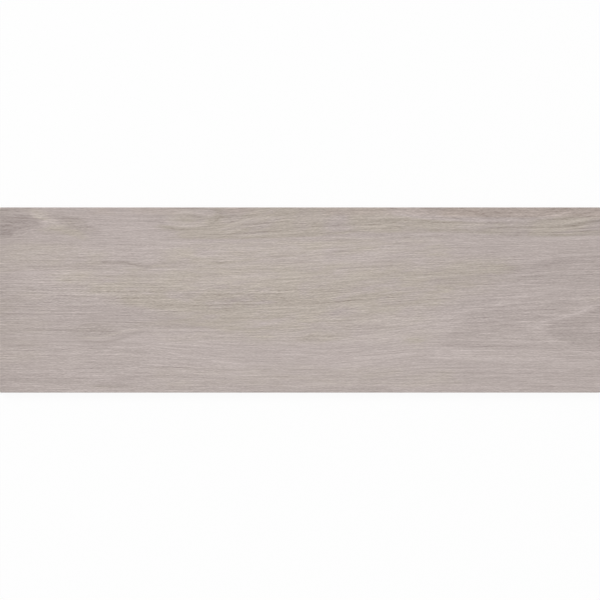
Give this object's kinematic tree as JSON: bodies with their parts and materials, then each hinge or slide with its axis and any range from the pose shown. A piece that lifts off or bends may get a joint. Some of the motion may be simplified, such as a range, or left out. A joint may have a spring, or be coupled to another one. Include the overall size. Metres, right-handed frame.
{
  "type": "wood look porcelain plank tile",
  "caption": "Flat rectangular porcelain plank tile with a wood grain face, softened edges, leaning lower flanks and a ribbed back that keys into adhesive on a floor or wall.",
  "frame": {"origin": "middle of the back, on the plane that the back ribs rest on", "axes": "+X along the plank and its grain, +Y across it, +Z out of the printed face"},
  "size_m": [0.6, 0.185, 0.009],
  "materials": {
    "porcelain": "matt printed glaze, greige oak grain, over a fired porcelain body"
  },
  "bodies": {
    "root": {"plank_tile": "porcelain"}
  },
  "joints": []
}
